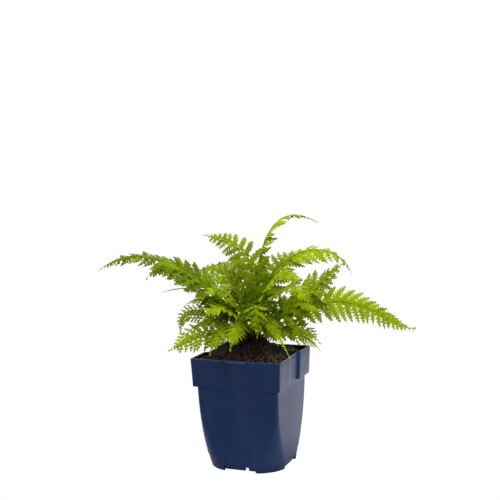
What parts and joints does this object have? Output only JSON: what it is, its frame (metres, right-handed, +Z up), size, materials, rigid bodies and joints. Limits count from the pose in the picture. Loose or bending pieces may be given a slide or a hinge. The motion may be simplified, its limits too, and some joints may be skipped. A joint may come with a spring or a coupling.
{
  "type": "lady fern in a square nursery pot",
  "caption": "Young lady fern with arching, finely cut green fronds rising from a dark crown in a soil-filled, square, round-footed nursery pot with a collar.",
  "frame": {"origin": "on the ground under the middle of the pot, which is also the middle of the whole plant's outline seen from above", "axes": "+Z up along the pot's axis, X and Y square to the pot's sides, +X towards the long right-hand frond, -Y out of the pot's front side"},
  "size_m": [0.357, 0.1753, 0.2926],
  "materials": {
    "pot_plastic": "semi-gloss dark blue",
    "potting_soil": "matte, moist and fibrous",
    "crown_scales": "matte, scaly",
    "frond_green": "soft satin leaf"
  },
  "bodies": {
    "root": {"pot": "pot_plastic", "soil": "potting_soil", "crown": "crown_scales", "frond_right_long": "frond_green", "frond_left_long": "frond_green", "frond_left_arched": "frond_green", "frond_upper_left": "frond_green", "frond_top": "frond_green", "frond_upper_right": "frond_green", "frond_right_upright": "frond_green", "frond_right_low": "frond_green", "frond_right_drooping": "frond_green", "frond_front_right": "frond_green", "frond_front_low": "frond_green", "frond_front_left": "frond_green", "frond_front_left_low": "frond_green", "frond_left_low": "frond_green", "frond_left_hooked": "frond_green", "frond_left_small": "frond_green", "frond_front_left_mid": "frond_green", "frond_front_mid": "frond_green", "frond_front_right_mid": "frond_green", "frond_centre_left": "frond_green", "frond_centre_right": "frond_green", "frond_right_mid": "frond_green", "frond_left_mid": "frond_green", "frond_left_upright": "frond_green", "frond_back_left_high": "frond_green", "frond_back_high": "frond_green", "frond_back_right_high": "frond_green", "frond_back_left_low": "frond_green", "frond_back_low": "frond_green", "frond_back_right_low": "frond_green"}
  },
  "joints": []
}
